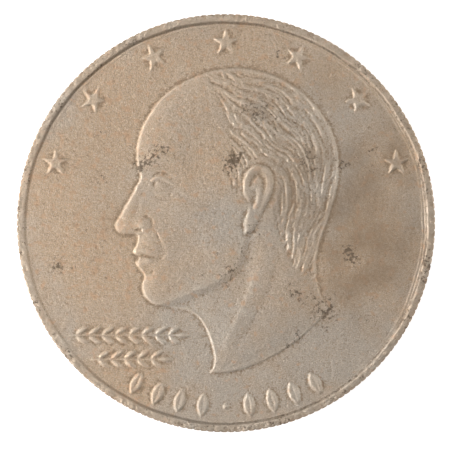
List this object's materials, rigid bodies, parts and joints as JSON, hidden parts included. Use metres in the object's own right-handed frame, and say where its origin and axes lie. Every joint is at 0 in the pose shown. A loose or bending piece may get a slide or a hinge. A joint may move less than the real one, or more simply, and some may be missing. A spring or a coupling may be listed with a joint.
{
  "type": "coin",
  "caption": "Large clad coin with a raised rim, a reeded edge, a head in low relief on one face and a star inside a laurel wreath on the other.",
  "frame": {"origin": "centre of the coin at the plane of the reverse rim, which the coin lies on", "axes": "+Z along the coin's axis, out of the obverse; +Y to the top of the obverse design; -X the way the head looks"},
  "size_m": [0.038, 0.038, 0.0026],
  "materials": {
    "cupronickel": "worn satin, lightly toned",
    "copper": "dulled copper"
  },
  "bodies": {
    "root": {"obverse_cladding": "cupronickel", "copper_core": "copper", "reverse_cladding": "cupronickel"}
  },
  "joints": []
}
